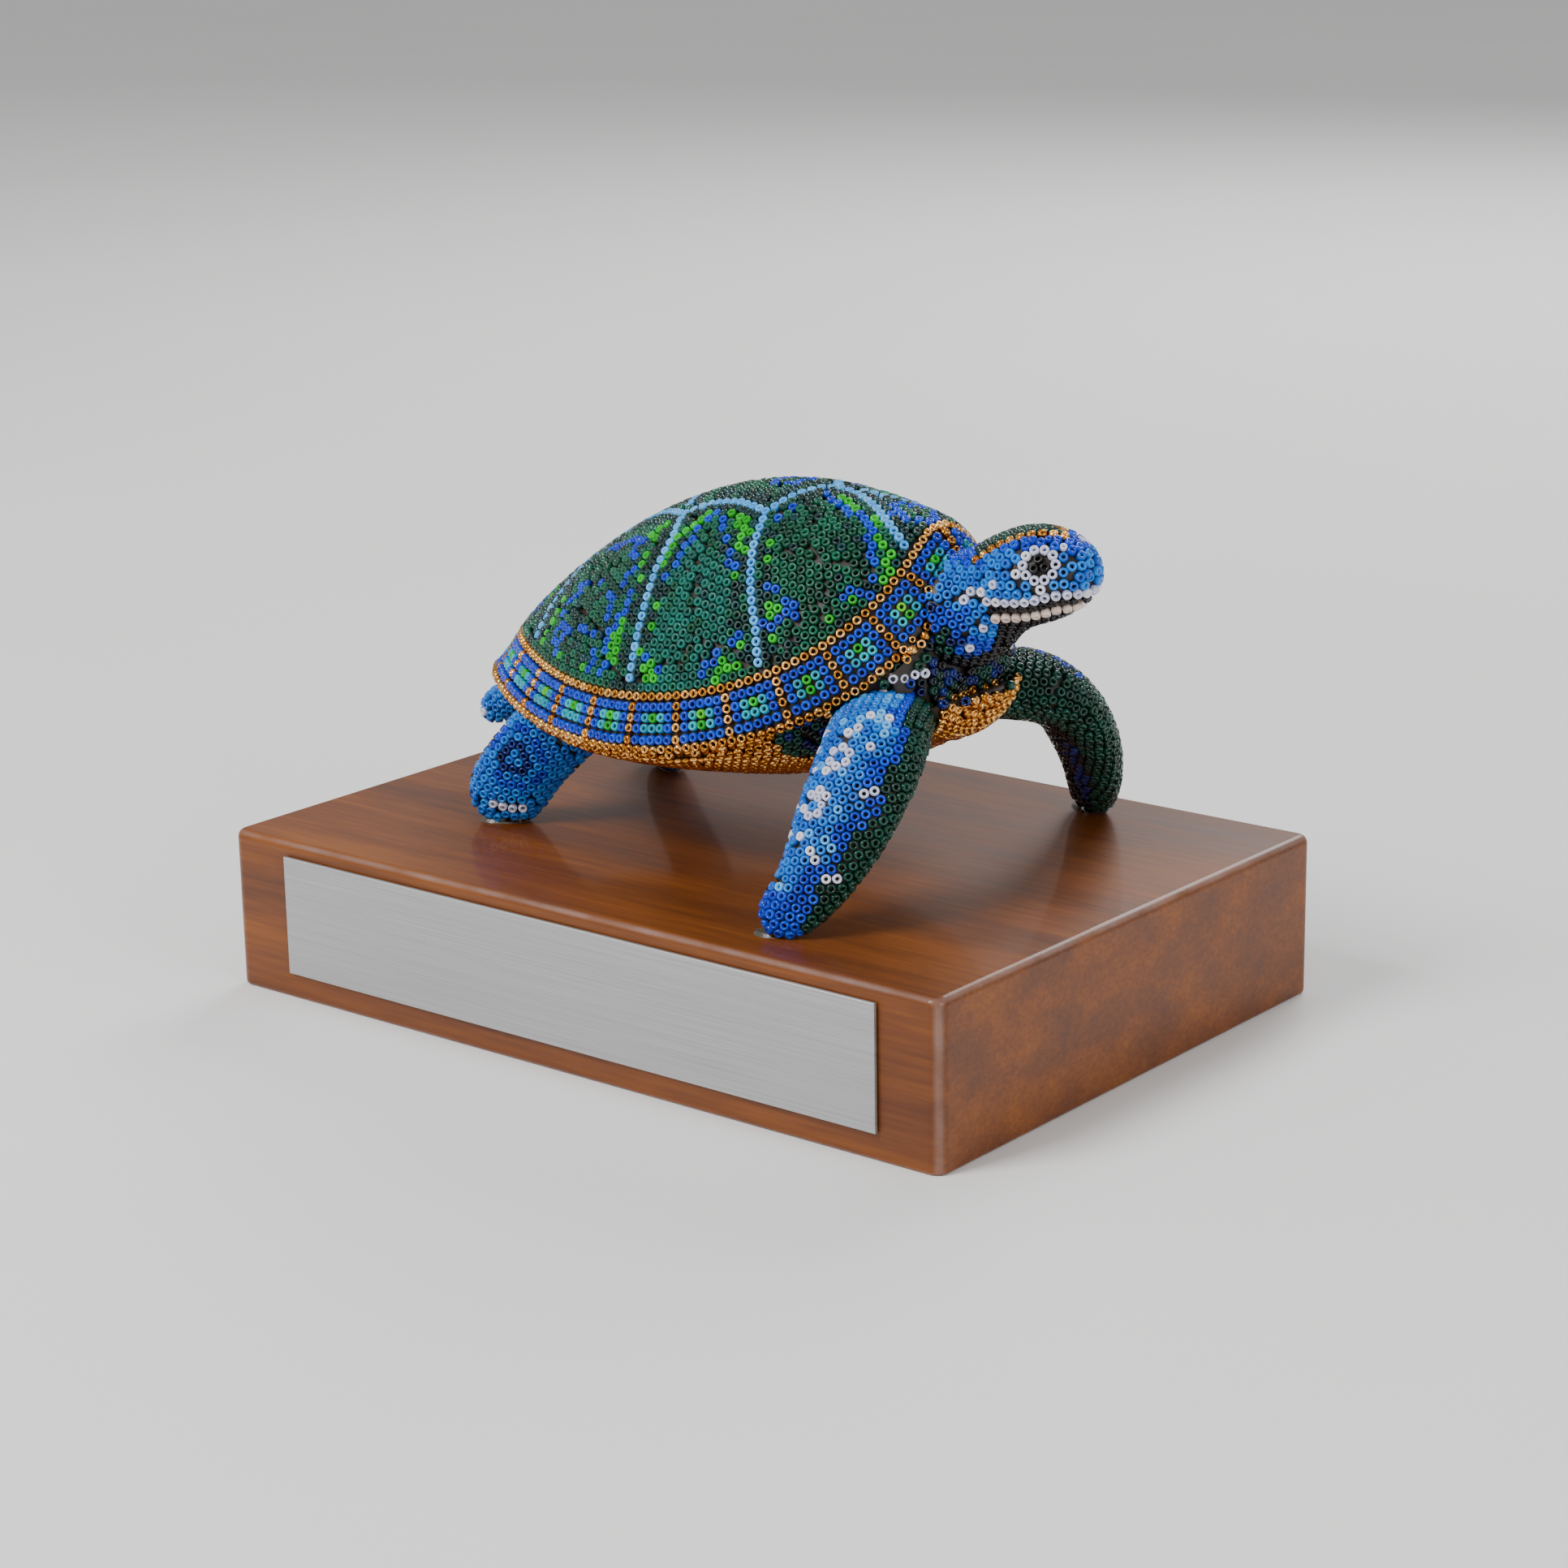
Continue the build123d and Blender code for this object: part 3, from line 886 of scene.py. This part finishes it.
# %% [markdown]
# ## The head
# A face is read by its lines, so those are set first: the white upper lip, the black slit of the mouth,
# sunk a little, the cream lower lip, the eye, which is three black beads in a ring of white, and the two
# gold lines that meet on the forehead. The rest is filled in round them. The head is set on both sides at
# once by mirroring each line.

# %% The lines of the head
head_bed = limb_beds["head"]
LIP = [
    (61.5, -9.4, 90.9), (66.6, -9.3, 91.1), (71.0, -8.5, 91.9), (74.5, -7.2, 93.1), (77.4, -4.4, 93.6),
    (78.6, 0, 93.6),
]
MOUTH = [(62.3, -8.9, 88.9), (67.5, -8.0, 89.1), (72.6, -6.8, 90.2), (75.6, -4.8, 91.6), (77.2, 0, 91.8)]
CHIN = [(62.3, -7.6, 87.0), (66.7, -6.3, 87.2), (70.9, -5.6, 88.4), (74.6, -4.0, 89.9), (75.9, 0, 90.2)]
FOREHEAD = [
    (57.0, -7.2, 98.4), (61.0, -6.4, 101.0), (65.3, -5.0, 102.9), (70.0, -2.6, 104.3), (74.6, 0, 103.6),
]
EYE = Vector((72.4, -8.0, 99.3))
PUPIL_RADIUS = 1.15
EYE_RADIUS = 3.15


def both_sides(points):
    """The same list of places for the right side and for the left."""
    for side in (1, -1):
        yield [Vector((x, y * side, z)) for x, y, z in points]


def rosette(centre, radius, count, bed, region, colour, sink=0.0):
    """A ring of beads on the bed round a centre."""
    middle, normal = bed.seat(centre)
    across = normal.orthogonal().normalized()
    for k in range(count):
        spoke = Quaternion(normal, math.tau * k / count) @ across
        place, way = bed.seat(middle + spoke * radius)
        if has_room(place, 0.8):
            press(place - way * sink, way, region, colour)


head_start = len(beads)
for side in (1, -1):
    eye = Vector((EYE.x, EYE.y * side, EYE.z))
    rosette(eye, PUPIL_RADIUS, 3, head_bed, "head", "black", sink=0.15)
    rosette(eye, EYE_RADIUS, 10, head_bed, "head", "white")
for path in both_sides(LIP):
    string(path, head_bed, "head", "white")
for path in both_sides(MOUTH):
    string(path, head_bed, "head", "black", sink=0.7, share=0.7)
for path in both_sides(CHIN):
    string(path, head_bed, "head", "cream", share=0.8)
for path in both_sides(FOREHEAD):
    string(path, head_bed, "head", "gold")
print("line beads on the head:", len(beads) - head_start)

# %% Fill the head
FACE_DOTS = [
    (67.3, -9.9, 97.3), (74.6, -3.6, 102.4), (76.0, -3.8, 101.3), (73.8, -8.1, 94.9), (57.7, -9.7, 93.0),
    (60.4, -9.9, 93.1), (63.9, -10.1, 94.4), (56.7, -9.9, 91.4), (62.0, -8.5, 88.1), (59.2, -7.7, 84.9),
    (56.3, -7.2, 80.2),
]
face_dots = [Vector(dot) for dot in FACE_DOTS]


def anywhere(place, normal):
    return True


made = fill(head_bed, range(head_start, len(beads)), "head", anywhere)
made += stop_gaps(head_bed, "head", anywhere)


def head_colour(place, normal):
    """Green between the gold lines, near-black painted shade where the head faces down, blue at the neck and
    on the crown, and azure between.
    """
    place = on_right(place)
    line_reach = 6.6 - 6.4 * max(place.x - 60, 0) / 14
    if 56 < place.x < 74 and -place.y < line_reach and normal.z > 0.4:
        return "deep_green"
    if gap_to(place, face_dots) < 1.25:
        return "white"
    # Beads that face down are near-black ink: painted shade under the jaw and throat.
    if normal.z < -0.62 or (place.x > 62 and place.z < 86 and normal.z < -0.3):
        return "ink"
    if place.x < 54 and place.z < 86:
        return random.choice(["deep_green", "navy", "deep_green", "blue"])
    if place.z < 83 or (place.x < 57 and place.z < 89):
        return "blue" if random.random() < 0.8 else "navy"
    if place.z > 100.6 or (place.x < 60 and place.z > 96.5):
        return "blue"
    if place.z < 88 and place.x > 60:
        return "blue" if place.x > 66 else "azure"
    return "azure"


for number, bead in enumerate(beads):
    if bead.region == "head" and colours[number] is None:
        colours[number] = head_colour(bead.place, bead.normal)
print("head beads:", made)

# %% [markdown]
# ## The flippers
# A front flipper is a long blade. Its colour runs across it: pale blue with small white flowers along the
# trailing edge, then mid-blue with a stepped edge, then dark green along the leading edge. Its underside is
# nearly black, which is painted shade under the blade. So a bead needs two numbers, how far along the blade
# it is and how far across, and both come from the line down the middle of the blade. Beads are set on the
# right flipper only, from one straight row down its middle, and the left flipper is its mirror image with a
# wider dark edge.

# %% Measures along a flipper
BLADE_ACROSS = Vector((0.93, 0.34, 0)).normalized()
BLADE = [
    (39, -8, 70), (45, -19, 67), (49.3, -28.5, 64), (50.6, -36.5, 56.6), (49.4, -43, 47.4),
    (46.8, -47.8, 40.2), (43.9, -50.8, 36.2),
]
BLADE_WIDTHS = [8.0, 9.6, 10.5, 10.1, 8.4, 6.6, 4.7]
REAR_ACROSS = Vector((0.75, 0.4, 0)).normalized()
REAR = [(-24.5, -14.5, 61), (-32.3, -20, 57.2), (-40, -23.4, 50), (-46, -25, 42.4), (-48.7, -25.8, 38.2)]
REAR_WIDTHS = [6.4, 8.0, 8.7, 8.6, 7.7]
BLADE_REACH = 9.0
REAR_REACH = 7.0


def outward(across, run):
    """The way out of a limb's outer face: up, or to the right on a steep stretch."""
    out = across.cross(run).normalized()
    if out.z < 0 or (abs(out.z) < abs(out.y) and out.y > 0):
        return -out
    return out


def blade_measures(place, line, widths, across):
    """How far along a limb a place is, 0 to 1, how far across, -1 to 1, and if it is on the outer face."""
    best = None
    for k, (start, end) in enumerate(zip(line, line[1:])):
        a, b = Vector(start), Vector(end)
        share = min(max((place - a).dot(b - a) / (b - a).length_squared, 0), 1)
        offset = place - a.lerp(b, share)
        if best is None or offset.length < best[0]:
            width = widths[k] + (widths[k + 1] - widths[k]) * share
            along = (k + share) / (len(line) - 1)
            best = (offset.length, along, offset.dot(across) / width, offset.dot(outward(across, b - a)) > 0)
    return best[1:]


def blade_path(line, across, reach):
    """A path down the outer face of a limb, a reach out from its middle line."""
    path = []
    for start, end in zip(line, line[1:]):
        a, b = Vector(start), Vector(end)
        out = outward(across, b - a)
        path += [a + out * reach, (a + b) / 2 + out * reach]
    return path


# %% Set and colour the flippers
PLINTH_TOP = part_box("plinth")[1].z / MM


def above_plinth(place, normal):
    return place.z > PLINTH_TOP + 1.0


BLADE_WHITES = [
    (44.7, -19.8, 73.8), (52.1, -27.2, 71.8), (49.6, -28.8, 71.8), (48.0, -31.5, 70.4), (47.8, -33.2, 69.0),
    (57.4, -31.6, 66.4), (53.3, -34.2, 67.1), (54.7, -38.9, 60.3), (57.1, -38.1, 60.1), (49.2, -47.4, 49.5),
    (50.7, -48.0, 47.8), (52.4, -48.2, 45.2), (54.7, -46.5, 44.3), (45.7, -46.8, 51.3), (43.2, -50.4, 44.5),
]
blade_whites = [Vector(dot) for dot in BLADE_WHITES]
BLADE_FLOWERS = [Vector((47.7, -37.6, 64.9)), Vector((46.6, -43.2, 57.4))]
GREEN_FROM = [0.5, 0.58, 0.66, 0.64, 0.38, 0.5, 0.8]
BLUE_FROM = [0.3, 0.4, 0.42, 0.34, 0.12, -0.1, -0.9]
STATIONS = np.linspace(0, 1, len(BLADE))


def blade_colour(place):
    along, across, outside = blade_measures(place, BLADE, BLADE_WIDTHS, BLADE_ACROSS)
    # The underside's near-black beads are painted shade under the blade; the green of the edge and the root
    # runs round onto it.
    if not outside:
        if across > 0.45 or along < 0.3:
            return "deep_green"
        return "navy" if 0.5 < along < 0.85 and across > 0.0 and random.random() < 0.6 else "ink"
    for flower in BLADE_FLOWERS:
        to_flower = (place - flower).length
        if 1.2 < to_flower < 3.0:
            return "white"
        if to_flower <= 1.2:
            return "azure"
    if gap_to(place, blade_whites) < 1.2:
        return "white"
    step = 0.1 * math.sin(along * 40)
    if across > np.interp(along, STATIONS, GREEN_FROM) + step / 2:
        return "deep_green"
    if across > np.interp(along, STATIONS, BLUE_FROM) + step:
        return "blue"
    if across < -0.75 and random.random() < 0.15:
        return "white"
    return "sky" if random.random() < 0.12 else "azure"


FLOWER = Vector((-41.5, -29.6, 48.4))
TOE_LINE = [Vector((-47.8, -29.8, 37.9)), Vector((-44.7, -27.9, 37.0)), Vector((-42.2, -25.3, 37.3))]


def rear_colour(place):
    along, across, outside = blade_measures(place, REAR, REAR_WIDTHS, REAR_ACROSS)
    to_flower = (place - FLOWER).length
    # The underside's near-black beads are painted shade under the flipper.
    if not outside and across < 0.6:
        return random.choice(["ink", "navy", "deep_green"])
    if 2.2 < to_flower < 3.9:
        return "navy"
    if 5.6 < to_flower < 7.0:
        return "blue"
    if across > 0.8:
        return "blue" if place.z > 48 else "navy"
    if along < 0.45 and across > 0.2 and random.random() < 0.25:
        return "white"
    return "azure"


def set_limb(name, path, region_colour, colour=None):
    """Covers a right-hand limb from one row of beads, then colours it."""
    bed = limb_beds[name]
    start = len(beads)
    string(path, bed, name, None)
    fill(bed, range(start, len(beads)), name, above_plinth)
    stop_gaps(bed, name, above_plinth)
    for number in range(start, len(beads)):
        if colours[number] is None:
            colours[number] = region_colour(beads[number].place)
    print(name, "beads:", len(beads) - start)


string(TOE_LINE, limb_beds["right_rear_flipper"], "right_rear_flipper", "white")
set_limb("right_front_flipper", blade_path(BLADE[1:], BLADE_ACROSS, BLADE_REACH), blade_colour)
set_limb("right_rear_flipper", blade_path(REAR[1:], REAR_ACROSS, REAR_REACH), rear_colour)

# %% [markdown]
# ## The tail
# The tail is a short cone in the same azure, with some white beads. One row along its top starts it.


# %% Set the tail
def tail_colour(place):
    return "white" if random.random() < 0.16 else "azure"


set_limb("tail", [Vector((-63, 0, 60)), Vector((-78, 0, 50))], tail_colour)

# %% [markdown]
# ## From places to glass
# Now every bead has a place, a direction and a colour. Each region becomes one piece: the bead's points are
# turned to face out of the wax, spun and tilted by a few degrees, and written into the piece's mesh. The
# shell's top and its belly are split down the middle, to keep each piece's mesh to a fair size.


# %% Stamp the pieces
TILT = 0.07
SIZE_SPREAD = 0.02


def rotation_for(normal):
    """Stands a bead on its hole's axis, a little askew and with its seams turned anyhow."""
    tilt = Quaternion((1, 0, 0), random.gauss(0, TILT)) @ Quaternion((0, 1, 0), random.gauss(0, TILT))
    spin = Quaternion((0, 0, 1), random.uniform(0, math.tau))
    return np.array((normal.to_track_quat("Z", "Y") @ tilt @ spin).to_matrix())


def bead_piece(name, numbers, node, mirrored=False, colour_of=colours.__getitem__):
    """One mesh of many beads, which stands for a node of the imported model."""
    materials = []
    points = np.zeros((len(numbers) * len(bead_points), 3))
    faces = np.zeros((len(numbers) * len(bead_faces), 4), int)
    slots = np.zeros(len(faces), int)
    for count, number in enumerate(numbers):
        place, normal, _, size = beads[number]
        if mirrored:
            place = Vector((place.x, -place.y, place.z))
            normal = Vector((normal.x, -normal.y, normal.z))
        glass = random.choice(palette[colour_of(number)])
        if glass not in materials:
            materials.append(glass)
        size *= random.gauss(1.0, SIZE_SPREAD)
        turned = bead_points @ rotation_for(normal).T * size + np.array(place) * MM
        points[count * len(bead_points) : (count + 1) * len(bead_points)] = turned
        rows = slice(count * len(bead_faces), (count + 1) * len(bead_faces))
        faces[rows] = bead_faces + count * len(bead_points)
        slots[rows] = materials.index(glass)
    mesh = bpy.data.meshes.new(name)
    mesh.from_pydata(points.tolist(), [], faces.tolist())
    for glass in materials:
        mesh.materials.append(glass)
    mesh.polygons.foreach_set("material_index", slots)
    mesh.polygons.foreach_set("use_smooth", np.ones(len(faces), bool))
    mesh.update()
    piece = bpy.data.objects.new(name, mesh)
    bpy.context.scene.collection.objects.link(piece)
    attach(piece, "root")
    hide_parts(node)
    print(name, len(numbers), "beads,", 2 * len(faces), "triangles")
    return piece


def numbers_in(region, keep=None):
    return [k for k, bead in enumerate(beads) if bead.region == region and (keep is None or keep(bead.place))]


def left_colour(number):
    """The left front flipper's dark edge is wider than the right one's."""
    along, across, _ = blade_measures(beads[number].place, BLADE, BLADE_WIDTHS, BLADE_ACROSS)
    if along < 0.62 and across > -0.1 and colours[number] in ("azure", "sky", "blue", "white"):
        return "blue" if random.random() < 0.15 else "deep_green"
    return colours[number]


bead_piece("rim_glass", numbers_in("rim"), "carapace_beads")
bead_piece("carapace_right_glass", numbers_in("dome", lambda p: p.y < 0), "carapace_beads")
bead_piece("carapace_left_glass", numbers_in("dome", lambda p: p.y >= 0), "carapace_beads")
bead_piece("belly_right_glass", numbers_in("belly", lambda p: p.y < 0), "belly_beads")
bead_piece("belly_left_glass", numbers_in("belly", lambda p: p.y >= 0), "belly_beads")
bead_piece("head_glass", numbers_in("head"), "head_beads")
bead_piece("tail_glass", numbers_in("tail"), "tail_beads")
for limb in ("front_flipper", "rear_flipper"):
    bead_piece(f"right_{limb}_glass", numbers_in(f"right_{limb}"), f"right_{limb}_beads")
    colour_of = left_colour if limb == "front_flipper" else colours.__getitem__
    bead_piece(f"left_{limb}_glass", numbers_in(f"right_{limb}"), f"left_{limb}_beads", True, colour_of)
print("beads in all:", len(beads))
